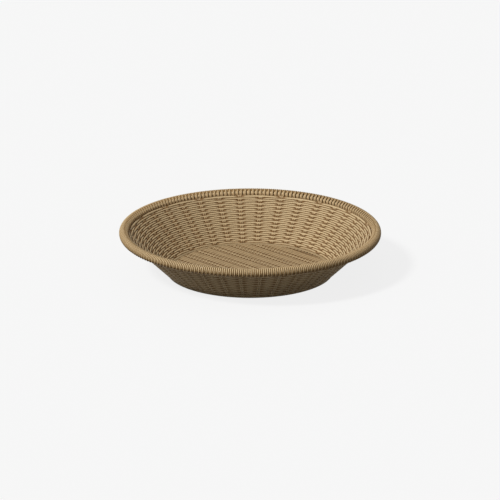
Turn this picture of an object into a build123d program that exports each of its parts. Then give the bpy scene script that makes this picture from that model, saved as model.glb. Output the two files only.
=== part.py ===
from build123d import *
import os
from math import asin, atan2, cos, hypot, pi, sin, sqrt

# A shallow round basket woven from thin wicker strands. Pairs of stakes rise
# from a hoop under the base to a lashed rim, round weavers pass over and under
# them row by row, and the flat base is the same plain weave in straight strands.
# All sizes are in millimetres. The origin is on the table, below the centre.

# Overall form
RIM_LINE_DIAMETER = 385.6       # circle along the middle of the lashed rim
RIM_LINE_HEIGHT = 62.8          # that circle above the table
BASE_DIAMETER = 254.0           # outside of the base hoop

# Lashed rim: a bent core with the stake tips on its flank, wound with strand
RIM_HOOP_THICKNESS = 6.8        # across the flats of the core
LASHING_THICKNESS = 2.0         # build-up of the winding over core and tips
LASHING_RELIEF = 0.6            # depth of the groove between two turns
LASHING_TURNS = 198             # turns of doubled strand round the whole rim
LASHING_LENGTHS = 6             # lengths that the winding is made from

# Wall stakes: pairs of straight rods
STAKE_PAIRS = 36
STAKE_GROUPS = 12               # nodes that hold the pairs
STAKE_WIDTH = 2.6
STAKE_THICKNESS = 1.5
STAKE_SPACING = 2.9             # between the two rods of a pair, centre to centre

# Wall weavers: one strand for each row
WEAVER_ROWS = 25
ROW_GAP = 0.2                   # between a row and the next
WEAVER_THICKNESS = 1.7
RIM_BAND = 1.2                  # bare stakes between the top row and the rim
JOINT_STEP = 7                  # stakes from the joint of a row to that of the next

# Base: flat woven mat inside a hoop
BASE_HOOP_WIDTH = 5.0
BASE_HOOP_HEIGHT = 4.8
FOOT_CHAMFER = 2.0              # edge of the hoop that carries the stake feet
BASE_STAKE_PAIRS = 8
BASE_STAKE_MARGIN = 23.8        # from the hoop to the outermost pairs, mean of both sides
BASE_STAKE_SHIFT = -6.0         # how far the pairs lie off centre
BASE_STAKE_THICKNESS = 1.4
BASE_WEAVERS = 76
BASE_WEAVER_GAP = 0.3           # between a strand and the next
BASE_WEAVER_THICKNESS = 1.2
BASE_LIFT = 0.3                 # mat above the table

# Fits
CLEARANCE = 0.2                 # between seated pieces, and at butted ends
STRAND_CLEARANCE = 0.1          # between a weaver and the stake that it crosses

FLATNESS = 1e-6                 # corners nearer than this to a plane make one facet
HEX_SIDES = 6
HALF_HEX = pi / HEX_SIDES
STAKE_STEP = 2 * pi / STAKE_PAIRS
PAIR_HALF_WIDTH = (STAKE_SPACING + STAKE_WIDTH) / 2

# Wall line in the radial section: it starts on the chamfer of the base hoop and
# passes the rim on its inner flank, between the core and the winding
RIM_RADIUS = RIM_LINE_DIAMETER / 2
CORE_SHIFT = (STAKE_THICKNESS + CLEARANCE) / 2
TIP_OFFSET = RIM_HOOP_THICKNESS / 2 + CLEARANCE + STAKE_THICKNESS / 2 - CORE_SHIFT
FOOT_RADIUS = (BASE_DIAMETER - FOOT_CHAMFER) / 2
FOOT_HEIGHT = BASE_HOOP_HEIGHT - FOOT_CHAMFER / 2
RISE = RIM_LINE_HEIGHT - FOOT_HEIGHT
REACH = RIM_RADIUS - FOOT_RADIUS
SPAN = hypot(RISE, REACH)
WALL_ANGLE = atan2(RISE, REACH) + asin(TIP_OFFSET / SPAN)
WALL_LENGTH = sqrt(SPAN ** 2 - TIP_OFFSET ** 2)

# Rim section: hexagons with two corners on a line along the wall
BORE_FLAT = CORE_SHIFT + RIM_HOOP_THICKNESS / 2 + CLEARANCE
RIM_FLAT = BORE_FLAT + LASHING_THICKNESS
BORE_CORNER = BORE_FLAT / cos(HALF_HEX)
RIM_CORNER = RIM_FLAT / cos(HALF_HEX)

# Wall rows: they share the wall between the base hoop and the rim
FOOT_SAG = FOOT_RADIUS * (1 - cos(STAKE_STEP / 2))
ROWS_START = FOOT_SAG + CLEARANCE
ROWS_END = WALL_LENGTH - RIM_CORNER - RIM_BAND
ROW_PITCH = (ROWS_END - ROWS_START + ROW_GAP) / WEAVER_ROWS
WEAVER_HEIGHT = ROW_PITCH - ROW_GAP

# Base mat: stake lines, strand places and levels inside the hoop
INNER_RADIUS = BASE_DIAMETER / 2 - BASE_HOOP_WIDTH - CLEARANCE
BASE_STAKE_PITCH = 2 * (INNER_RADIUS - BASE_STAKE_MARGIN) / (BASE_STAKE_PAIRS - 1)
BASE_STAKE_LINES = [
    BASE_STAKE_SHIFT + BASE_STAKE_PITCH * (number - (BASE_STAKE_PAIRS - 1) / 2)
    for number in range(BASE_STAKE_PAIRS)
]
LAST_CROSSING = min(abs(line) for line in BASE_STAKE_LINES) + PAIR_HALF_WIDTH
MAT_REACH = sqrt(INNER_RADIUS ** 2 - LAST_CROSSING ** 2)
BASE_WEAVER_PITCH = (2 * MAT_REACH + BASE_WEAVER_GAP) / BASE_WEAVERS
BASE_WEAVER_WIDTH = BASE_WEAVER_PITCH - BASE_WEAVER_GAP
BASE_WAVE = ((BASE_STAKE_THICKNESS + BASE_WEAVER_THICKNESS) / 2 + STRAND_CLEARANCE) / (
    1 - 2 * PAIR_HALF_WIDTH / BASE_STAKE_PITCH)
BASE_LEVEL = BASE_LIFT + BASE_WAVE + BASE_WEAVER_THICKNESS / 2


def on_section(radius, height, angle):
    """Point of the radial section at an angle round the basket."""
    return Vector(radius * cos(angle), radius * sin(angle), height)


def on_wall(along, out, angle):
    """Point given along the wall from the stake feet, and out from its middle."""
    radius = FOOT_RADIUS + along * cos(WALL_ANGLE) + out * sin(WALL_ANGLE)
    height = FOOT_HEIGHT + along * sin(WALL_ANGLE) - out * cos(WALL_ANGLE)
    return on_section(radius, height, angle)


def panel(points):
    """Flat facets over four corners: one where they lie in a plane, else two."""
    first, second, third, fourth = points
    normal = (third - first).cross(fourth - second).normalized()
    if abs(normal.dot(second - first)) < FLATNESS:
        return [Face(Wire.make_polygon(points))]
    return [
        Face(Wire.make_polygon([first, second, third])),
        Face(Wire.make_polygon([first, third, fourth])),
    ]


def loft_through(outlines):
    """Flat-faceted solid through a row of closed outlines with equal corners."""
    faces = [Face(Wire.make_polygon(outline)) for outline in (outlines[0], outlines[-1])]
    for here, there in zip(outlines, outlines[1:]):
        for corner in range(len(here)):
            faces += panel([here[corner - 1], here[corner], there[corner], there[corner - 1]])
    return Solid(Shell(faces))


def save(name, solids):
    """Write one sub-part, a single solid or a group of separate ones."""
    shape = solids[0] if len(solids) == 1 else Compound(children=solids)
    export_step(shape, f"parts/{name}.step")


def rod(start, end, across, thick):
    """Straight four-sided rod between two points."""
    outlines = []
    for point in (start, end):
        outlines.append([
            point + across + thick,
            point - across + thick,
            point - across - thick,
            point + across - thick,
        ])
    return loft_through(outlines)


def rim_hexagon(corner, angle, shift=0.0, stretch=1.0):
    """Hexagon round the rim line, shifted outwards from the wall."""
    points = []
    for side in range(HEX_SIDES):
        turn = WALL_ANGLE + 2 * HALF_HEX * side
        radius = RIM_RADIUS + corner * cos(turn) + shift * sin(WALL_ANGLE)
        height = RIM_LINE_HEIGHT + corner * sin(turn) - shift * cos(WALL_ANGLE)
        points.append(on_section(radius * stretch, height, angle))
    return points


def rim_tube(corner, shift, angles):
    """Straight lengths of hexagonal rod, each flat on to the stakes it passes."""
    stretch = 1 / cos(STAKE_STEP / 2)
    return loft_through([rim_hexagon(corner, angle, shift, stretch) for angle in angles])


def stake_corner_angles(first, last):
    """Angles half-way between the stakes, where straight lengths of rod meet."""
    return [(number + 0.5) * STAKE_STEP for number in range(first, last)]


def rim_hoop():
    """Core of the rim, bent round until its two ends meet."""
    end_gap = CLEARANCE / 2 / RIM_RADIUS
    angles = stake_corner_angles(-1, STAKE_PAIRS)
    angles[0] += end_gap
    angles[-1] -= end_gap
    return rim_tube(RIM_HOOP_THICKNESS / 2 / cos(HALF_HEX), CORE_SHIFT, angles)


def tip_slot(number):
    """Opening in the winding through which a pair of stakes reaches the core."""
    angle = number * STAKE_STEP
    tangent = Vector(-sin(angle), cos(angle), 0)
    outward = on_wall(0, 1, angle) - on_wall(0, 0, angle)
    return rod(
        on_wall(WALL_LENGTH - 2 * RIM_CORNER, 0, angle),
        on_wall(WALL_LENGTH, 0, angle),
        tangent * (PAIR_HALF_WIDTH + CLEARANCE),
        outward * (STAKE_THICKNESS / 2 + CLEARANCE),
    )


def rim_lashing(first, last):
    """Winding over the stakes from one number to the next, in ridged turns."""
    start = (first - 0.5) * STAKE_STEP + CLEARANCE / 2 / RIM_RADIUS
    end = (last - 0.5) * STAKE_STEP - CLEARANCE / 2 / RIM_RADIUS
    turns = round(LASHING_TURNS * (last - first) / STAKE_PAIRS)
    steps = 2 * turns
    outlines = []
    for step in range(steps + 1):
        corner = RIM_CORNER - LASHING_RELIEF * ((step + 1) % 2)
        outlines.append(rim_hexagon(corner, start + (end - start) * step / steps))
    bore = rim_tube(BORE_CORNER, 0, stake_corner_angles(first - 2, last + 1))
    slots = [tip_slot(number) for number in range(first, last)]
    return loft_through(outlines).cut(bore, *slots)


def wall_stake_pair(number):
    """Two rods side by side, from the base hoop to the flank of the rim core."""
    angle = number * STAKE_STEP
    foot = on_wall(CLEARANCE, 0, angle)
    tip = on_wall(WALL_LENGTH + BORE_CORNER / 2 - CLEARANCE, 0, angle)
    tangent = Vector(-sin(angle), cos(angle), 0)
    thick = (on_wall(0, 1, angle) - on_wall(0, 0, angle)) * (STAKE_THICKNESS / 2)
    rods = []
    for side in (-1, 1):
        offset = tangent * (side * STAKE_SPACING / 2)
        rods.append(rod(foot + offset, tip + offset, tangent * (STAKE_WIDTH / 2), thick))
    return rods


def wall_weaver(row):
    """One row: a strand that passes in front of and behind the stakes by turns."""
    along = ROWS_START + WEAVER_HEIGHT / 2 + ROW_PITCH * row
    radius = FOOT_RADIUS + along * cos(WALL_ANGLE)
    bow = PAIR_HALF_WIDTH * sin(STAKE_STEP / 2) * sin(WALL_ANGLE)
    wave = ((STAKE_THICKNESS + WEAVER_THICKNESS) / 2 + STRAND_CLEARANCE) / (
        1 - 2 * PAIR_HALF_WIDTH / (radius * STAKE_STEP))
    joint = row * JOINT_STEP % STAKE_PAIRS
    end_gap = CLEARANCE / 2 / radius / STAKE_STEP
    outlines = []
    for stake in range(STAKE_PAIRS + 1):
        side = 1 if (joint + stake + row) % 2 == 0 else -1
        place = min(max(stake, end_gap), STAKE_PAIRS - end_gap)
        angle = (joint + place) * STAKE_STEP
        out = bow + side * wave
        outlines.append([
            on_wall(along + WEAVER_HEIGHT / 2, out, angle),
            on_wall(along, out + WEAVER_THICKNESS / 2, angle),
            on_wall(along - WEAVER_HEIGHT / 2, out, angle),
            on_wall(along, out - WEAVER_THICKNESS / 2, angle),
        ])
    return loft_through(outlines)


def base_hoop():
    """Flat-bottomed hoop round the mat, with a chamfer for the stake feet."""
    outer = BASE_DIAMETER / 2
    inner = outer - BASE_HOOP_WIDTH
    outline = Polyline(
        (inner, 0, 0),
        (outer, 0, 0),
        (outer, 0, BASE_HOOP_HEIGHT - FOOT_CHAMFER),
        (outer - FOOT_CHAMFER, 0, BASE_HOOP_HEIGHT),
        (inner, 0, BASE_HOOP_HEIGHT),
        close=True,
    )
    return revolve(make_face(outline), axis=Axis.Z).solid()


def chord(offset, half_width):
    """Half length of a strand that crosses the inside of the base hoop."""
    return sqrt(max(INNER_RADIUS ** 2 - (abs(offset) + half_width) ** 2, 0))


def base_stake_pair(line):
    """Two straight rods side by side across the base."""
    rods = []
    for side in (-1, 1):
        place = line + side * STAKE_SPACING / 2
        half = chord(place, STAKE_WIDTH / 2)
        rods.append(rod(
            Vector(-half, place, BASE_LEVEL),
            Vector(half, place, BASE_LEVEL),
            Vector(0, STAKE_WIDTH / 2, 0),
            Vector(0, 0, BASE_STAKE_THICKNESS / 2),
        ))
    return rods


def base_weaver(number):
    """Strand of the mat, flat underneath, over and under the base stakes by turns."""
    across = BASE_WEAVER_PITCH * (number - (BASE_WEAVERS - 1) / 2)
    half = chord(across, BASE_WEAVER_WIDTH / 2)
    crossed = [line for line in BASE_STAKE_LINES if abs(line) < half]
    outlines = []
    for place in [-half] + crossed + [half]:
        phase = (place - BASE_STAKE_LINES[0]) / BASE_STAKE_PITCH + number
        height = BASE_LEVEL + BASE_WAVE * (4 * abs((phase / 2) % 1 - 0.5) - 1)
        outlines.append([
            Vector(across, place, height + BASE_WEAVER_THICKNESS / 2),
            Vector(across - BASE_WEAVER_WIDTH / 2, place, height - BASE_WEAVER_THICKNESS / 2),
            Vector(across + BASE_WEAVER_WIDTH / 2, place, height - BASE_WEAVER_THICKNESS / 2),
        ])
    return loft_through(outlines)


os.makedirs("parts", exist_ok=True)

save("rim_hoop", [rim_hoop()])
lashing_ends = [round(STAKE_PAIRS * part / LASHING_LENGTHS) for part in range(LASHING_LENGTHS + 1)]
for part in range(LASHING_LENGTHS):
    save(f"rim_lashing_{part + 1}", [rim_lashing(lashing_ends[part], lashing_ends[part + 1])])

group_ends = [round(STAKE_PAIRS * part / STAKE_GROUPS) for part in range(STAKE_GROUPS + 1)]
for part in range(STAKE_GROUPS):
    rods = []
    for number in range(group_ends[part], group_ends[part + 1]):
        rods += wall_stake_pair(number)
    save(f"wall_stakes_{part + 1:02d}", rods)

for row in range(WEAVER_ROWS):
    save(f"wall_weaver_{row + 1:02d}", [wall_weaver(row)])

save("base_hoop", [base_hoop()])
for number, line in enumerate(BASE_STAKE_LINES):
    save(f"base_stakes_{number + 1}", base_stake_pair(line))
for name, start in (("odd", 0), ("even", 1)):
    strands = [base_weaver(number) for number in range(start, BASE_WEAVERS, 2)]
    save(f"base_weavers_{name}", strands)
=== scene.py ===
from math import asin, atan2, cos, hypot, pi, radians, sin, sqrt
from typing import NamedTuple

import bpy
import numpy as np
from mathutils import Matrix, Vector


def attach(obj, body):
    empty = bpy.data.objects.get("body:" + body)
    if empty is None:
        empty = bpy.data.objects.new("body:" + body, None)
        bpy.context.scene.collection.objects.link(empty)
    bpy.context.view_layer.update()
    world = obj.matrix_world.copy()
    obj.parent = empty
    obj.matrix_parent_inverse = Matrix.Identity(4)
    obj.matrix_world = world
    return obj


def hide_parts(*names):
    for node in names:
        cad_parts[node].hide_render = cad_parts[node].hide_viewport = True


# A shallow round wicker basket. Each strand is a swept tube, laid in the place of
# its solid in the frame: paired stakes, woven rows, a wound rim and a woven base.
# All sizes are in metres. The origin is on the table, below the centre.

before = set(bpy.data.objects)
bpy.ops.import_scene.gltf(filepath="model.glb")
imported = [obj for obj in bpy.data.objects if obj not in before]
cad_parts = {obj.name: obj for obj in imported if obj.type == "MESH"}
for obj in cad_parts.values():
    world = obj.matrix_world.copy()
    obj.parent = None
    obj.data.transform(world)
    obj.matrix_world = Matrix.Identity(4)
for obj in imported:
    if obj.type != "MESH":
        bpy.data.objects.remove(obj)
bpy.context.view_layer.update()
SEED = 36
rng = np.random.default_rng(SEED)

# Overall form
RIM_RADIUS = 0.1928             # circle along the middle of the rim
RIM_HEIGHT = 0.0628
BASE_RADIUS = 0.127             # outside of the base hoop
CLEARANCE = 0.0002
STRAND_CLEARANCE = 0.0001       # between a strand and the stakes that it crosses
NO_LIMIT = 1.0                  # far more than the thickness of any strand

# Rim: a bent core wound with doubled strand
CORE_RADIUS = 0.0034
CORE_FILL = 0.0010              # the core is drawn this much thicker, so that no gap looks hollow
CORE_SHIFT = 0.00085            # core off the rim line, to leave room for the stake tips
RIM_TUBE_RADIUS = 0.0072        # outside of the winding
LASHING_UNITS = 198             # each is one long and one short turn
LASHING_LENGTHS = 6
LASHING_WIDTH = 0.0031
LASHING_THICKNESS = 0.0026
TURN_START = -20                # a turn starts here, in degrees round the rim's section
STEP_START = 220                # and steps on to the next unit from here, in degrees from its start
KNOB_RISE = 0.65                # share of its sink that a turn rises by at the knob

# Wall
STAKE_PAIRS = 36
STAKE_GROUPS = 12
STAKE_WIDTH = 0.00303
STAKE_THICKNESS = 0.0026
STAKE_SPACING = 0.0029          # between the two rods of a pair
STAKE_BULGE = 0.0008            # a stake swings this far the other way than the rows
STAKE_UNEVENNESS = 0.02
TUCK_ROWS = 2                   # a stake thins over this many rows, up to the rim
TUCK_THINNING = 0.65            # and loses this share of its thickness
WEAVER_ROWS = 25
BULGE_FADE = (WEAVER_ROWS - 3, WEAVER_ROWS - 1)     # the stakes' swing fades between these rows
WEAVER_THICKNESS = 0.0035
WEAVE_DEPTH = 0.0006            # a row swings this far to either side
WEAVE_SLANT = 0.12              # and this share of it up or down the wall
ROW_WIDTH = 1.05                # width of a row, in pitches
ROW_SWELL = 0.045               # it is this much wider at each pair
ROW_SWELL_OUTSIDE = 0.065       # and this much more outside a pair, less inside
ROW_UNEVENNESS = 0.012
ROW_UNEVEN_WAVES = 12
JOINT_STEP = 7                  # stakes from the joint of a row to that of the next
TOP_ROW_FILL = (0.00080, 0.00048)   # the top row is drawn wider, inside and outside, up to the rim
FOOT_ROW_FILL = (0.00044, 0.00110)  # and so is the first row, down to the base hoop

# Base
HOOP_WIDTH = 0.0050
HOOP_HEIGHT = 0.0048
HOOP_ROUNDNESS = 0.6            # 1 is an oval section, 0 is a rectangle
HOOP_FILL = 0.0008              # the hoop is drawn this much wider inside, to close gaps to the mat
FOOT_CHAMFER = 0.0020           # edge of the hoop under the stake feet
BASE_STAKE_PAIRS = 8
BASE_STAKE_MARGIN = 0.0238
BASE_STAKE_SHIFT = -0.0060
BASE_STAKE_THICKNESS = 0.0011
BASE_WEAVERS = 76
BASE_WEAVER_THICKNESS = 0.0014
BASE_WEAVE_DEPTH = 0.00035
MAT_WIDTH = 1.04                # width of a strand of the base, in pitches
MAT_SWELL = 0.08                # it is this much wider at each pair
MAT_TUCK = 0.0016               # strands of the base end this far inside the hoop
BASE_LEVEL = 0.00264            # middle of the mat

# Wall line in the radial section, from the hoop's chamfer past the rim's inner flank
STAKE_STEP = 2 * pi / STAKE_PAIRS
TIP_OFFSET = 0.0035             # stakes off the rim line
FOOT_RADIUS = BASE_RADIUS - FOOT_CHAMFER / 2
FOOT_HEIGHT = HOOP_HEIGHT - FOOT_CHAMFER / 2
RISE = RIM_HEIGHT - FOOT_HEIGHT
REACH = RIM_RADIUS - FOOT_RADIUS
SPAN = hypot(RISE, REACH)
WALL_ANGLE = atan2(RISE, REACH) + asin(TIP_OFFSET / SPAN)
WALL_LENGTH = sqrt(SPAN ** 2 - TIP_OFFSET ** 2)
ROWS_START = CLEARANCE
ROWS_END = WALL_LENGTH - RIM_TUBE_RADIUS + CLEARANCE
ROW_PITCH = (ROWS_END - ROWS_START) / WEAVER_ROWS

# Base mat inside the hoop
INNER_RADIUS = BASE_RADIUS - HOOP_WIDTH - CLEARANCE
TUCKED_RADIUS = INNER_RADIUS + MAT_TUCK
BASE_STAKE_PITCH = 2 * (INNER_RADIUS - BASE_STAKE_MARGIN) / (BASE_STAKE_PAIRS - 1)
BASE_STAKE_LINES = [
    BASE_STAKE_SHIFT + BASE_STAKE_PITCH * (number - (BASE_STAKE_PAIRS - 1) / 2)
    for number in range(BASE_STAKE_PAIRS)
]
PAIR_HALF_WIDTH = (STAKE_SPACING + STAKE_WIDTH) / 2
LAST_CROSSING = min(abs(line) for line in BASE_STAKE_LINES) + PAIR_HALF_WIDTH
MAT_REACH = sqrt(INNER_RADIUS ** 2 - LAST_CROSSING ** 2)
BASE_WEAVER_PITCH = 2 * MAT_REACH / BASE_WEAVERS

# Dents where a strand passes a stake pair
DENT_SHARE = 0.7                # share of a pair's width over which a strand is pressed flat
DENT_HALF_WIDTH = DENT_SHARE * PAIR_HALF_WIDTH
DENT_SLOPE = 1.75               # how steeply a strand closes round the pair

# Painted shade, from 0 to 1, where shade and shadow fall among the strands
STRAND_BARE = 0.40              # middle of a strand that stays free of it
LASHING_BARE = 0.28             # and middle of a turn of the rim
EDGE_FADE = 0.6                 # it reaches its full strength this much farther out
ROD_GROOVE = 0.15               # between the two rods of a pair
MAT_GROOVE = 0.25               # between the strands of the base
LASHING_GROOVE = 0.85           # between the turns of the rim
INSIDE_GROOVE_LOSS = 0.4        # share of that which is missing inside the rim
RECESS_DEPTH = 0.60             # painted shade in the recess of a row that passes behind a pair
RECESS_GAIN = 1.5               # how soon it is full, going round the row's section
RECESS_START = 0.0055           # it fades between these distances from the pair
RECESS_END = 0.0105
RECESS_TAPER = 0.0028           # and ends this much nearer the pair at a row's lower edge
SEAT_START = 0.0025             # a row's lower edge gets no painted shade where it lies on a pair
SEAT_END = 0.0045
FOOT_SHADE = 0.45               # painted contact shadow on the first row's lower edge
FOOT_FADE = (-0.3, 0.7)         # where that starts and is full: 1 is the lower edge, -1 the upper
STAKE_INSIDE_SHADE = 0.9        # on a stake's inside, above a row
STAKE_INSIDE_FADE = (0.28, 0.02)    # where that ends and is full, in rows above the visible middle
STAKE_OUTSIDE_SHADE = 0.85      # on a stake's outside, below a row
STAKE_OUTSIDE_FADE = (0.20, 0.50)   # where that starts and is full, in the same measure
TUCKED_SHADE = 0.35             # painted shadow of the rim on the stakes below it
SIDE_TOLERANCE = 0.01           # a stake's flanks count as its inside
MAT_LINE = 0.0040               # a painted shade line runs along a pair of the base, this far off its middle
MAT_LINE_WIDTH = 0.0024
MAT_LINE_SLOPE = 1.4            # how steeply it fades to its sides
MAT_LINE_OVER = 0.55            # its strength on strands that pass over the pair
MAT_LINE_UNDER = 0.9            # and under it
MAT_DOT = (0.0012, 0.0019, 0.0068, 0.0095)  # painted shadow dots on the pair's other side: rise, full, fall, end

# Bands round the rim's section, in degrees: rise, full, fall and end. 0 is outward, 90 is up,
# 180 is inward. A short turn has a knob inside, where it rises between the long ones.
LEAN_BAND = (95, 130, 185, 215)
SUNK_INSIDE = (78, 106, 180, 202)
SUNK_BELOW = (270, 300, 330, 352)
KNOB = (148, 158, 164, 174)
# bands of painted shade inside the rim: above, beside and below the knobs
SHADE_ABOVE_KNOB = (88, 100, 128, 142)
SHADE_AT_KNOB = (128, 142, 168, 182)
SHADE_BELOW_KNOB = (168, 182, 228, 250)
INSIDE_BAND = (95, 120, 200, 225)
UNDER_START = 275               # the bands of painted shade under the rim are counted from here

# Mesh fineness
STRAND_SIDES = 12
THIN_SIDES = 8                  # of the stakes, the winding and the base strands
HOOP_SIDES = 16
DENT_STEPS = np.array([0.0, 0.0019, 0.0024, 0.0028, 0.0032, 0.0038, 0.0056])  # rings beside a pair
FREE_STEPS = 4                  # rings between two pairs
END_STEPS = np.array([0.0, 0.12, 0.35, 0.7, 1.0])   # rings at the end of a strand
END_CLEAR = 1.5                 # the next ring is at least this far in
END_FLAT = 0.3                  # share of an end's rounding that is cut off flat
STEPS_PER_TURN = 36             # rings of one turn of the winding
ROD_STEPS = 24
STEPS_PER_ROW = 4               # rings of a stake at each row
RING_STEPS = 240


class Turn(NamedTuple):
    """One of the two turns in each unit of the winding."""

    place: float                # in the unit, from 0 to 1
    lean: float                 # share of a unit that it leans aside inside the rim
    sink: float                 # how much deeper it lies inside and below the rim
    inside: float               # painted shade inside the rim
    at_knob: float              # share of that painted shade beside the knobs
    below_knob: float           # and below them
    under: float                # painted shade under the rim
    under_band: tuple


LONG_TURN = Turn(place=0.25, lean=0.0, sink=0.0, inside=0.39, at_knob=1.0, below_knob=1.0,
                 under=0.40, under_band=(0, 20, 67, 83))
SHORT_TURN = Turn(place=0.75, lean=0.16, sink=0.0010, inside=0.95, at_knob=0.0, below_knob=0.6,
                  under=0.60, under_band=(0, 20, 67, 132))


def smooth(low, high, value):
    """Smooth step from 0 at low to 1 at high."""
    share = np.clip((value - low) / (high - low), 0, 1)
    return share * share * (3 - 2 * share)


def band(limits, value):
    """One between the inner two limits, nought outside the outer two."""
    rise, full, fall, end = limits
    return smooth(rise, full, value) * (1 - smooth(fall, end, value))


def unit(vectors):
    return vectors / np.linalg.norm(vectors, axis=1, keepdims=True)


def section_turn(sides):
    """Angles round a strand's own section."""
    return 2 * pi * np.arange(sides) / sides


def on_section(radius, height, angle):
    """Points of the basket's radial section, at angles round the basket."""
    x = radius * np.cos(angle)
    y = radius * np.sin(angle)
    return np.stack(np.broadcast_arrays(x, y, height), axis=-1)


def on_wall(along, out, angle):
    """Points given along the wall from the stake feet, and out from its middle."""
    radius = FOOT_RADIUS + along * cos(WALL_ANGLE) + out * sin(WALL_ANGLE)
    height = FOOT_HEIGHT + along * sin(WALL_ANGLE) - out * cos(WALL_ANGLE)
    return on_section(radius, height, angle)


def wall_outward(angle):
    return on_section(sin(WALL_ANGLE), -cos(WALL_ANGLE), angle)


class Bundle:
    """Strands gathered into one mesh, with what the materials read at each vertex."""

    def __init__(self):
        self.points = []
        self.faces = []
        self.along = []
        self.around = []
        self.tone = []
        self.painted_shade = []
        self.count = 0

    def add(self, rings, along, around, painted_shade, closed=False):
        """One tube through rings of points, capped unless it closes on itself."""
        steps, sides = rings.shape[:2]
        index = self.count + np.arange(steps * sides).reshape(steps, sides)
        if closed:
            index = np.vstack([index, index[:1]])
        turned = np.roll(index, -1, axis=1)
        quads = np.stack([index[:-1], turned[:-1], turned[1:], index[1:]], axis=-1)
        self.faces += quads.reshape(-1, 4).tolist()
        if not closed:
            self.faces += [index[0, ::-1].tolist(), index[-1].tolist()]
        self.points.append(rings.reshape(-1, 3))
        self.along.append(np.repeat(along + rng.uniform(0, 10), sides))
        self.around.append(np.tile(around, steps))
        self.tone.append(np.full(steps * sides, rng.uniform()))
        # painted shade at each vertex, from 0 for none to 1
        self.painted_shade.append(np.broadcast_to(painted_shade, (steps, sides)).ravel())
        self.count += steps * sides

    def strand(self, path, facing, half_width, half_thickness, sides=STRAND_SIDES,
               low=-NO_LIMIT, high=NO_LIMIT, groove=1.0, bare=STRAND_BARE, shade=0.0,
               rod_side=0.0, rod_distance=NO_LIMIT, seat=0.0):
        """Oval strand along a path, its thickness facing the given way, between low and high."""
        tangent = unit(np.gradient(path, axis=0))
        length = np.linalg.norm(np.diff(path, axis=0, append=path[-1:]), axis=1)
        wide = unit(np.cross(tangent, facing))
        thick = np.cross(wide, tangent)
        turn = section_turn(sides)
        half_width = np.broadcast_to(half_width, len(path))[:, None, None]
        half_thickness = np.broadcast_to(half_thickness, len(path))[:, None, None]
        low = np.broadcast_to(low, len(path))[:, None, None]
        high = np.broadcast_to(high, len(path))[:, None, None]
        depth = np.clip(half_thickness * np.sin(turn)[:, None], low, high)
        sideways = wide[:, None] * half_width * np.cos(turn)[:, None]
        rings = path[:, None] + sideways + thick[:, None] * depth
        along = np.concatenate([[0], np.cumsum(length)[:-1]])
        around = turn * (half_width.mean() + half_thickness.mean()) / 2
        # painted shade at a strand's edges, where it meets its neighbours, and in the recess behind
        # a pair
        edge = groove * smooth(bare, bare + EDGE_FADE, np.abs(np.cos(turn)))
        edge = edge * (1 - np.broadcast_to(seat, len(path))[:, None] * (np.cos(turn) > 0))
        taper = RECESS_TAPER * (1 + np.cos(turn)) / 2
        distance = np.broadcast_to(rod_distance, len(path))[:, None]
        rod_side = np.broadcast_to(rod_side, len(path))[:, None]
        behind = np.clip(RECESS_GAIN * rod_side * np.sin(turn), 0, 1)
        recess = RECESS_DEPTH * behind * (1 - smooth(RECESS_START, RECESS_END, distance + taper))
        self.add(rings, along, around, np.maximum(np.maximum(edge, recess), shade))

    def mesh(self, name):
        data = bpy.data.meshes.new(name)
        data.from_pydata(np.concatenate(self.points).tolist(), [], self.faces)
        for key in ("along", "around", "tone", "painted_shade"):
            values = np.concatenate(getattr(self, key)).astype(np.float32)
            data.attributes.new(key, "FLOAT", "POINT").data.foreach_set("value", values)
        data.shade_smooth()
        data.validate()
        return data


def piece(name, bundle, material, slot, *nodes):
    """One visible piece, in the place of its nodes of the frame."""
    item = bpy.data.objects.new(name, bundle.mesh(name))
    bpy.context.scene.collection.objects.link(item)
    item.data.materials.append(material)
    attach(item, "root")
    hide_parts(*nodes)


def end_rounding(path, half_size):
    """Size of a strand along its path, drawn in at both of its ends."""
    steps = np.linalg.norm(np.diff(path, axis=0), axis=1)
    place = np.concatenate([[0], np.cumsum(steps)])
    nearest = np.minimum(place, place[-1] - place) / half_size
    return np.sqrt(np.clip(1 - (1 - np.clip(nearest, END_FLAT, 1)) ** 2, 0, 1))


def with_end_steps(values, reach):
    """Places along a strand, with close steps added near both ends."""
    near = reach * END_STEPS
    clear = reach * END_CLEAR
    inner = values[(values > values[0] + clear) & (values < values[-1] - clear)]
    return np.concatenate([values[0] + near, inner, values[-1] - near[::-1]])


def unevenness(steps, size, waves=5):
    """Slow seeded change along a strand, about zero and closing on itself."""
    turn = np.linspace(0, 2 * pi, steps)
    total = np.zeros(steps)
    for wave in range(1, waves + 1):
        total += rng.normal() * np.sin(wave * turn + rng.uniform(0, 2 * pi)) / sqrt(waves)
    return total * size


# Materials

FIBRE_NOISE = (70.0, 4200.0, 3.0)   # scale along a strand and around it, and detail
STAIN_NOISE = (22.0, 160.0, 2.0)
PORE_NOISE = (900.0, 5200.0, 1.0)
STRAND_OFFSET = 97.0            # sets the noise of one strand apart from the next
NOISE_RANGE = (0.30, 0.70)      # values of the noise that are told apart
PORE_RANGE = (0.5, 0.75)
WHOLE_RANGE = (0.0, 1.0)
TONE_CHANGE = (0.38, 0.62)      # place in the colour ramp, from one strand to the next
GRAIN_CHANGE = (-0.16, 0.16)    # and along a strand
ROUGHNESS = (0.50, 0.70)
SPECULAR = 0.15
PORE_DEPTH = (0.0, -0.5)
BUMP_STRENGTH = 0.35
BUMP_HEIGHT = 0.00012
SHADE_COLOUR = (0.31, 0.19, 0.09)  # what painted shade multiplies the colour by
PALE_SHADE_COLOUR = (0.41, 0.315, 0.20)   # the same on the rim


def node(tree, kind, **values):
    item = tree.nodes.new(kind)
    for key, value in values.items():
        setattr(item, key, value)
    return item


def scaled(tree, name, scale):
    """A vertex attribute times a constant."""
    source = node(tree, "ShaderNodeAttribute", attribute_name=name)
    product = node(tree, "ShaderNodeMath", operation="MULTIPLY")
    product.inputs[1].default_value = scale
    tree.links.new(source.outputs["Fac"], product.inputs[0])
    return product.outputs[0]


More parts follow.
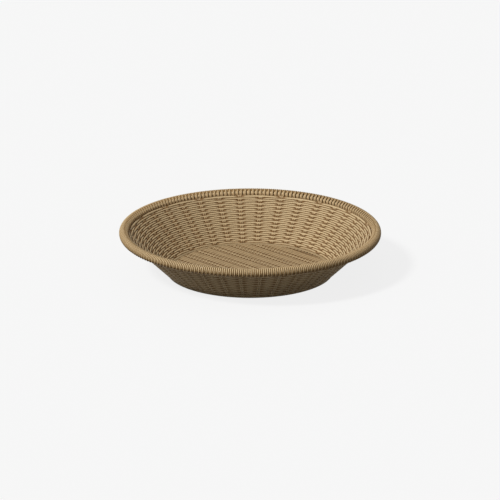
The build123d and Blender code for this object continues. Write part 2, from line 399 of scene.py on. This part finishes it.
def strand_noise(tree, along, around, detail):
    """Noise that runs with the strand and differs from one strand to the next."""
    place = node(tree, "ShaderNodeCombineXYZ")
    tree.links.new(scaled(tree, "along", along), place.inputs[0])
    tree.links.new(scaled(tree, "around", around), place.inputs[1])
    tree.links.new(scaled(tree, "tone", STRAND_OFFSET), place.inputs[2])
    noise = node(tree, "ShaderNodeTexNoise")
    noise.inputs["Scale"].default_value = 1.0
    noise.inputs["Detail"].default_value = detail
    tree.links.new(place.outputs[0], noise.inputs["Vector"])
    return noise.outputs["Fac"]


def ranged(tree, value, source, target):
    """A value carried over from one range to another."""
    change = node(tree, "ShaderNodeMapRange")
    for key, number in zip(("From Min", "From Max", "To Min", "To Max"), (*source, *target)):
        change.inputs[key].default_value = number
    tree.links.new(value, change.inputs["Value"])
    return change.outputs[0]


def added(tree, *values):
    total = values[0]
    for value in values[1:]:
        plus = node(tree, "ShaderNodeMath", operation="ADD")
        tree.links.new(total, plus.inputs[0])
        tree.links.new(value, plus.inputs[1])
        total = plus.outputs[0]
    return total


def wicker(name, deep, middle, pale, groove=SHADE_COLOUR, clear=0.0, full=1.0):
    """Peeled wicker: fibres along the strand, slow colour change, satin skin, painted shade in
    grooves and recesses.

    The painted shade shows from clear on, and has its whole effect at full.
    """
    material = bpy.data.materials.new(name)
    material.use_nodes = True
    tree = material.node_tree
    shader = tree.nodes["Principled BSDF"]
    shader.inputs["Specular IOR Level"].default_value = SPECULAR
    fibre = strand_noise(tree, *FIBRE_NOISE)
    stain = strand_noise(tree, *STAIN_NOISE)
    pores = strand_noise(tree, *PORE_NOISE)
    tone = node(tree, "ShaderNodeAttribute", attribute_name="tone").outputs["Fac"]
    shade = added(
        tree,
        ranged(tree, tone, WHOLE_RANGE, TONE_CHANGE),
        ranged(tree, fibre, NOISE_RANGE, GRAIN_CHANGE),
        ranged(tree, stain, NOISE_RANGE, GRAIN_CHANGE),
    )
    ramp = node(tree, "ShaderNodeValToRGB")
    ramp.color_ramp.elements[0].color = (*deep, 1)
    ramp.color_ramp.elements[1].color = (*pale, 1)
    ramp.color_ramp.elements.new(0.5).color = (*middle, 1)
    tree.links.new(shade, ramp.inputs["Fac"])
    # painted shade: the colour is darkened where the strands' shade and shadows fall
    shade_multiply = node(tree, "ShaderNodeMix", data_type="RGBA", blend_type="MULTIPLY")
    shade_multiply.inputs["B"].default_value = (*groove, 1)
    painted_shade = node(tree, "ShaderNodeAttribute", attribute_name="painted_shade").outputs["Fac"]
    tree.links.new(ranged(tree, painted_shade, (clear, full), WHOLE_RANGE), shade_multiply.inputs["Factor"])
    tree.links.new(ramp.outputs["Color"], shade_multiply.inputs["A"])
    tree.links.new(shade_multiply.outputs["Result"], shader.inputs["Base Color"])
    tree.links.new(ranged(tree, fibre, NOISE_RANGE, ROUGHNESS), shader.inputs["Roughness"])
    bump = node(tree, "ShaderNodeBump")
    bump.inputs["Strength"].default_value = BUMP_STRENGTH
    bump.inputs["Distance"].default_value = BUMP_HEIGHT
    relief = added(tree, fibre, ranged(tree, pores, PORE_RANGE, PORE_DEPTH))
    tree.links.new(relief, bump.inputs["Height"])
    tree.links.new(bump.outputs["Normal"], shader.inputs["Normal"])
    return material


WEAVER_LOOK = wicker("weaver_wicker", deep=(0.495, 0.368, 0.207), middle=(0.615, 0.469, 0.270),
                     pale=(0.689, 0.531, 0.314), full=0.70)
MAT_LOOK = wicker("mat_wicker", deep=(0.397, 0.276, 0.144), middle=(0.478, 0.342, 0.185),
                  pale=(0.534, 0.392, 0.218), full=0.72)
MAT_ROD_LOOK = wicker("mat_rod_wicker", deep=(0.484, 0.353, 0.194), middle=(0.587, 0.439, 0.249),
                      pale=(0.659, 0.501, 0.289))
STAKE_LOOK = wicker("stake_wicker", deep=(0.477, 0.360, 0.206), middle=(0.594, 0.456, 0.268),
                    pale=(0.661, 0.515, 0.310))
LASHING_LOOK = wicker("lashing_wicker", deep=(0.536, 0.397, 0.224), middle=(0.660, 0.499, 0.288),
                      pale=(0.737, 0.563, 0.332), groove=PALE_SHADE_COLOUR, clear=0.25, full=0.65)
HOOP_LOOK = wicker("hoop_cane", deep=(0.31, 0.220, 0.118), middle=(0.38, 0.275, 0.150),
                   pale=(0.435, 0.319, 0.177))


# Wall

def wall_stakes(numbers):
    """Pairs of oval rods, from the base hoop into the rim."""
    bundle = Bundle()
    top = WALL_LENGTH + CORE_RADIUS / 2
    even_steps = np.linspace(CLEARANCE, top, WEAVER_ROWS * STEPS_PER_ROW)
    along = with_end_steps(even_steps, STAKE_THICKNESS)
    level = (along - ROWS_START) / ROW_PITCH - 0.5
    swing = STAKE_BULGE * (1 - smooth(*BULGE_FADE, level))
    tucked = smooth(ROWS_END - TUCK_ROWS * ROW_PITCH, ROWS_END, along)
    for number in numbers:
        angle = number * STAKE_STEP
        across = np.array([-sin(angle), cos(angle), 0])
        for side in (-1, 1):
            bulge = -swing * np.cos(pi * (level + number))
            path = on_wall(along, bulge, angle) + across * side * STAKE_SPACING / 2
            size = end_rounding(path, STAKE_THICKNESS / 2)
            size = size * (1 + unevenness(len(path), STAKE_UNEVENNESS))
            facing = np.tile(wall_outward(angle), (len(path), 1))
            thickness = (1 - TUCK_THINNING * tucked) * STAKE_THICKNESS
            bundle.strand(path, facing, size * STAKE_WIDTH / 2, size * thickness / 2,
                          sides=THIN_SIDES, groove=ROD_GROOVE,
                          shade=stake_shade(level + number, tucked))
    return bundle


def stake_shade(level, tucked):
    """Painted shade above each row that passes inside a stake, and below each that passes outside.
    """
    inner = STAKE_INSIDE_SHADE * smooth(*STAKE_INSIDE_FADE, (level + 1) % 2 - 1)
    outer = STAKE_OUTSIDE_SHADE * smooth(*STAKE_OUTSIDE_FADE, level % 2 - 1)
    inner, outer = np.maximum([inner, outer], TUCKED_SHADE * tucked)
    outside = np.sin(section_turn(THIN_SIDES)) > SIDE_TOLERANCE
    return np.where(outside, outer[:, None], inner[:, None])


def woven_steps(first, last, pitch, scale):
    """Places along a strand between two stake lines, close together beside each pair."""
    near = DENT_STEPS * scale
    free = np.linspace(near[-1], pitch - near[-1], FREE_STEPS + 2)[1:-1]
    span = np.concatenate([near, free, pitch - near[:0:-1]])
    lines = pitch * np.arange(first, last)
    return (lines[:, None] + span).ravel()


def dented(place, wave, out, rod_thickness):
    """Limits of a strand's thickness, pressed in where it passes a stake pair."""
    beyond = np.abs(place) - DENT_HALF_WIDTH
    level = rod_thickness / 2 + STRAND_CLEARANCE - DENT_SLOPE * np.maximum(beyond, 0)
    low = np.where(wave > 0, level - out, -NO_LIMIT)
    high = np.where(wave < 0, -level - out, NO_LIMIT)
    return {"low": low, "high": high}


def row_fill(row, wave):
    """How much the first row is widened downward, below nought, and the top row upward."""
    if row == 0:
        return -np.interp(wave, (-1, 1), FOOT_ROW_FILL)
    if row == WEAVER_ROWS - 1:
        return np.interp(wave, (-1, 1), TOP_ROW_FILL)
    return np.zeros_like(wave)


def wall_weaver(row):
    """One row: a strand in front of and behind the stake pairs by turns."""
    along = ROWS_START + ROW_PITCH * (row + 0.5)
    radius = FOOT_RADIUS + along * cos(WALL_ANGLE)
    joint = row * JOINT_STEP % STAKE_PAIRS
    gap = CLEARANCE / 2 / radius
    turn = woven_steps(0, STAKE_PAIRS, STAKE_STEP, 1 / radius)
    turn = np.concatenate([[gap], turn[1:], [2 * pi - gap]])
    turn = with_end_steps(turn, STAKE_WIDTH / 2 / radius)
    angle = joint * STAKE_STEP + turn
    wave = np.cos(turn / STAKE_STEP * pi)
    out = WEAVE_DEPTH * wave
    fill = row_fill(row, wave)
    path = on_wall(along + WEAVE_SLANT * out + fill / 2, out, angle)
    size = end_rounding(path, STAKE_WIDTH / 2)
    place = ((turn / STAKE_STEP + 0.5) % 1 - 0.5) * STAKE_STEP * radius
    distance = np.abs(place)
    width = ROW_WIDTH + ROW_SWELL_OUTSIDE * wave + ROW_SWELL * np.abs(wave)
    width = width * (1 + unevenness(len(turn), ROW_UNEVENNESS, ROW_UNEVEN_WAVES)) * ROW_PITCH
    # painted contact shadow along the first row's lower edge
    shade = FOOT_SHADE * smooth(*FOOT_FADE, np.cos(section_turn(STRAND_SIDES))) if row == 0 else 0.0
    bundle = Bundle()
    bundle.strand(path, wall_outward(angle), size * (width + np.abs(fill)) / 2,
                  size * WEAVER_THICKNESS / 2, shade=shade, rod_side=-np.sign(wave),
                  rod_distance=distance, seat=1 - smooth(SEAT_START, SEAT_END, distance),
                  **dented(place, wave, out, STAKE_THICKNESS))
    return bundle


# Rim

def rim_core():
    """Bent cane inside the winding, its two ends butted."""
    gap = CLEARANCE / 2 / RIM_RADIUS
    angle = STAKE_STEP / 2 + np.linspace(gap, 2 * pi - gap, RING_STEPS)
    radius = RIM_RADIUS + CORE_SHIFT * sin(WALL_ANGLE)
    height = RIM_HEIGHT - CORE_SHIFT * cos(WALL_ANGLE)
    path = on_section(radius, height, angle)
    drawn = CORE_RADIUS + CORE_FILL
    bundle = Bundle()
    bundle.strand(path, on_section(1, 0, angle), drawn, drawn, groove=0)
    return bundle


def winding(first_unit, units, kind):
    """Path of a strand wound round the rim, what faces outward there, and the section's angle."""
    turns = np.linspace(0, units, units * STEPS_PER_TURN + 1)
    tube = radians(TURN_START) + 2 * pi * turns
    share = turns % 1
    advance = np.floor(turns) + smooth(radians(STEP_START), 2 * pi, share * 2 * pi)
    unit_angle = 2 * pi / LASHING_UNITS
    degrees = (share * 360 + TURN_START) % 360
    aside = kind.lean * band(LEAN_BAND, degrees)
    angle = (first_unit + kind.place + advance - aside) * unit_angle - STAKE_STEP / 2
    sunk = band(SUNK_INSIDE, degrees) + band(SUNK_BELOW, degrees) - KNOB_RISE * band(KNOB, degrees)
    radius = RIM_TUBE_RADIUS - LASHING_THICKNESS / 2 - kind.sink * sunk
    path = on_section(RIM_RADIUS + radius * np.cos(tube), RIM_HEIGHT + radius * np.sin(tube), angle)
    outward = on_section(np.cos(tube), np.sin(tube), angle)
    return path, outward, degrees


def rim_lashing(part):
    """One length of the winding: long and short turns side by side."""
    units = LASHING_UNITS // LASHING_LENGTHS
    bundle = Bundle()
    for kind in (LONG_TURN, SHORT_TURN):
        path, outward, degrees = winding(part * units, units, kind)
        # painted shade inside and under the rim, and in the grooves between turns
        inside = (band(SHADE_ABOVE_KNOB, degrees)
                  + kind.at_knob * band(SHADE_AT_KNOB, degrees)
                  + kind.below_knob * band(SHADE_BELOW_KNOB, degrees))
        under = band(kind.under_band, (degrees - UNDER_START) % 360)
        shade = kind.inside * inside + kind.under * under
        groove = LASHING_GROOVE * (1 - INSIDE_GROOVE_LOSS * band(INSIDE_BAND, degrees))
        bundle.strand(path, outward, LASHING_WIDTH / 2, LASHING_THICKNESS / 2, sides=THIN_SIDES,
                      groove=groove[:, None], bare=LASHING_BARE, shade=shade[:, None])
    return bundle


# Base

def rounded(value):
    """A sine or cosine that makes a section squarer than an oval."""
    return np.sign(value) * np.abs(value) ** HOOP_ROUNDNESS


def base_hoop():
    """Cane hoop with a flat underside and an eased edge under the stake feet."""
    turn = section_turn(HOOP_SIDES)
    across = rounded(np.cos(turn)) * HOOP_WIDTH / 2
    across = across + np.minimum(across, 0) * HOOP_FILL / (HOOP_WIDTH / 2)
    up = rounded(np.sin(turn)) * HOOP_HEIGHT / 2
    over = np.maximum(across + up - (HOOP_WIDTH + HOOP_HEIGHT) / 2 + FOOT_CHAMFER, 0) / 2
    across = across - over
    up = up - over
    angle = section_turn(RING_STEPS)
    radius = BASE_RADIUS - HOOP_WIDTH / 2 + across
    rings = on_section(radius, HOOP_HEIGHT / 2 + up, angle[:, None])
    bundle = Bundle()
    bundle.add(rings, angle * BASE_RADIUS, turn * HOOP_WIDTH / 2, 0.0, closed=True)
    return bundle


def chord(offset):
    """Half length of a strand across the base, its ends tucked into the hoop."""
    return sqrt(TUCKED_RADIUS ** 2 - offset ** 2)


def base_stakes(line):
    """Two straight oval rods side by side across the base."""
    bundle = Bundle()
    for side in (-1, 1):
        place = line + side * STAKE_SPACING / 2
        half = chord(place)
        along = with_end_steps(np.linspace(-half, half, ROD_STEPS), BASE_STAKE_THICKNESS)
        path = np.stack(np.broadcast_arrays(along, place, BASE_LEVEL), axis=1)
        size = end_rounding(path, BASE_STAKE_THICKNESS)
        bundle.strand(path, np.tile([0.0, 0.0, 1.0], (len(path), 1)), size * STAKE_WIDTH / 2,
                      size * BASE_STAKE_THICKNESS / 2, groove=ROD_GROOVE)
    return bundle


def mat_shade(beside, wave):
    """Painted shade along one side of a base pair, and painted shadow dots on its other side."""
    strength = np.where(wave > 0, MAT_LINE_OVER, MAT_LINE_UNDER)
    off_line = np.abs(beside + MAT_LINE) / MAT_LINE_WIDTH
    line = strength * np.clip(MAT_LINE_SLOPE * (1 - off_line), 0, 1)
    dot = (wave < 0) * band(MAT_DOT, beside)
    return np.maximum(line, dot)


def base_weavers(numbers):
    """Straight oval strands over and under the base stake pairs by turns."""
    bundle = Bundle()
    for number in numbers:
        across = BASE_WEAVER_PITCH * (number - (BASE_WEAVERS - 1) / 2)
        half = chord(across)
        place = woven_steps(-1, BASE_STAKE_PAIRS, BASE_STAKE_PITCH, 1) + BASE_STAKE_LINES[0]
        place = np.concatenate([[-half], place[np.abs(place) < half], [half]])
        place = with_end_steps(place, BASE_WEAVER_THICKNESS / 2)
        swing = (place - BASE_STAKE_LINES[0]) / BASE_STAKE_PITCH
        wave = np.cos(pi * (swing + number))
        out = BASE_WEAVE_DEPTH * wave
        path = np.stack(np.broadcast_arrays(across, place, BASE_LEVEL + out), axis=1)
        size = end_rounding(path, BASE_WEAVER_THICKNESS / 2)
        beside = ((swing + 0.5) % 1 - 0.5) * BASE_STAKE_PITCH
        width = (MAT_WIDTH + MAT_SWELL * np.abs(wave)) * BASE_WEAVER_PITCH
        bundle.strand(path, np.tile([0.0, 0.0, 1.0], (len(path), 1)), size * width / 2,
                      size * BASE_WEAVER_THICKNESS / 2, sides=THIN_SIDES, groove=MAT_GROOVE,
                      shade=mat_shade(beside, wave)[:, None],
                      **dented(beside, wave, out, BASE_STAKE_THICKNESS))
    return bundle


# The pieces

for row in range(WEAVER_ROWS):
    label = f"{row + 1:02d}"
    piece(f"row_{label}", wall_weaver(row), WEAVER_LOOK, "weaver_strand", f"wall_weaver_{label}")
pairs = STAKE_PAIRS // STAKE_GROUPS
for part in range(STAKE_GROUPS):
    label = f"{part + 1:02d}"
    rods = wall_stakes(range(part * pairs, (part + 1) * pairs))
    piece(f"stakes_{label}", rods, STAKE_LOOK, "stake_rod", f"wall_stakes_{label}")
piece("rim_core", rim_core(), HOOP_LOOK, "hoop_cane", "rim_hoop")
for part in range(LASHING_LENGTHS):
    label = part + 1
    turns = rim_lashing(part)
    piece(f"lashing_{label}", turns, LASHING_LOOK, "lashing_strand", f"rim_lashing_{label}")
piece("foot_hoop", base_hoop(), HOOP_LOOK, "hoop_cane", "base_hoop")
for number, line in enumerate(BASE_STAKE_LINES):
    label = number + 1
    rods = base_stakes(line)
    piece(f"mat_stakes_{label}", rods, MAT_ROD_LOOK, "stake_rod", f"base_stakes_{label}")
for label, start in (("odd", 0), ("even", 1)):
    strands = base_weavers(range(start, BASE_WEAVERS, 2))
    piece(f"mat_strands_{label}", strands, MAT_LOOK, "weaver_strand", f"base_weavers_{label}")


# Stage

VIEW_AZIMUTH = radians(45)
VIEW_ELEVATION = radians(18.53)
VIEW_DISTANCE = 30.0
FAR_CLIP = 100.0
SENSOR_WIDTH = 36.0             # in millimetres, as the lens
PICTURE_SIZE = 500
PIXEL = 0.0015256               # size of a pixel at the basket
RIM_CENTRE_PIXEL = (250.109, 232.627)

scene = bpy.context.scene
right = Vector((cos(VIEW_AZIMUTH), sin(VIEW_AZIMUTH), 0))
away = Vector((-sin(VIEW_AZIMUTH), cos(VIEW_AZIMUTH), 0))
backward = Vector((sin(VIEW_AZIMUTH) * cos(VIEW_ELEVATION),
                   -cos(VIEW_AZIMUTH) * cos(VIEW_ELEVATION),
                   sin(VIEW_ELEVATION)))
upward = backward.cross(right)
target = (Vector((0, 0, RIM_HEIGHT))
          - right * (RIM_CENTRE_PIXEL[0] - PICTURE_SIZE / 2) * PIXEL
          + upward * (RIM_CENTRE_PIXEL[1] - PICTURE_SIZE / 2) * PIXEL)
lens = bpy.data.cameras.new("camera")
lens.sensor_width = SENSOR_WIDTH
lens.lens = SENSOR_WIDTH * VIEW_DISTANCE / (PICTURE_SIZE * PIXEL)
lens.clip_end = FAR_CLIP
camera = bpy.data.objects.new("camera", lens)
camera.location = target + backward * VIEW_DISTANCE
camera.rotation_euler = backward.to_track_quat("Z", "Y").to_euler()
scene.collection.objects.link(camera)
scene.camera = camera

KEY_ELEVATION = radians(45.5)
KEY_SIDE = (-0.77, -0.64)       # towards the light: picture's right, and away from the camera
KEY_STRENGTH = 2.52
KEY_SIZE = radians(10)
to_key = (right * KEY_SIDE[0] + away * KEY_SIDE[1]).normalized() * cos(KEY_ELEVATION)
to_key += Vector((0, 0, sin(KEY_ELEVATION)))
sun = bpy.data.lights.new("key", "SUN")
sun.energy = KEY_STRENGTH
sun.angle = KEY_SIZE
key = bpy.data.objects.new("key", sun)
key.rotation_euler = to_key.to_track_quat("Z", "Y").to_euler()
scene.collection.objects.link(key)

FILL = 0.26
BACKDROP = (0.945, 0.945, 0.945, 1)
FLOOR_SIZE = 12.0
FLOOR_BOUNCE = (0.20, 0.20, 0.20, 1)    # the floor's colour for the light that it throws back
FLOOR_GLOW = 0.88               # share of its seen brightness that doesn't depend on the light


def camera_switch(tree, plain, shown):
    """Shader that is one thing as light and another where it is looked at."""
    path = node(tree, "ShaderNodeLightPath")
    seen = added(tree, path.outputs["Is Camera Ray"], path.outputs["Is Glossy Ray"],
                 path.outputs["Is Transmission Ray"])
    mix = node(tree, "ShaderNodeMixShader")
    tree.links.new(seen, mix.inputs[0])
    tree.links.new(plain, mix.inputs[1])
    tree.links.new(shown, mix.inputs[2])
    return mix.outputs[0]


world = bpy.data.worlds.new("studio")
world.use_nodes = True
scene.world = world
tree = world.node_tree
soft_light = tree.nodes["Background"]
soft_light.inputs["Color"].default_value = (1, 1, 1, 1)
soft_light.inputs["Strength"].default_value = FILL
paper = node(tree, "ShaderNodeBackground")
paper.inputs["Color"].default_value = BACKDROP
surface = camera_switch(tree, soft_light.outputs[0], paper.outputs[0])
tree.links.new(surface, tree.nodes["World Output"].inputs["Surface"])

half = FLOOR_SIZE / 2
corners = [(-half, -half, 0), (half, -half, 0), (half, half, 0), (-half, half, 0)]
floor_mesh = bpy.data.meshes.new("floor")
floor_mesh.from_pydata(corners, [], [(0, 1, 2, 3)])
floor = bpy.data.objects.new("floor", floor_mesh)
scene.collection.objects.link(floor)
paper_look = bpy.data.materials.new("paper_floor")
paper_look.use_nodes = True
tree = paper_look.node_tree
tree.nodes.remove(tree.nodes["Principled BSDF"])
dull = node(tree, "ShaderNodeBsdfDiffuse")
dull.inputs["Color"].default_value = FLOOR_BOUNCE
white = node(tree, "ShaderNodeBsdfDiffuse")
white.inputs["Color"].default_value = BACKDROP
glow = node(tree, "ShaderNodeEmission")
glow.inputs["Color"].default_value = BACKDROP
shown = node(tree, "ShaderNodeMixShader")
shown.inputs[0].default_value = FLOOR_GLOW
tree.links.new(white.outputs[0], shown.inputs[1])
tree.links.new(glow.outputs[0], shown.inputs[2])
surface = camera_switch(tree, dull.outputs[0], shown.outputs[0])
tree.links.new(surface, tree.nodes["Material Output"].inputs["Surface"])
floor_mesh.materials.append(paper_look)

scene.view_settings.view_transform = "Standard"
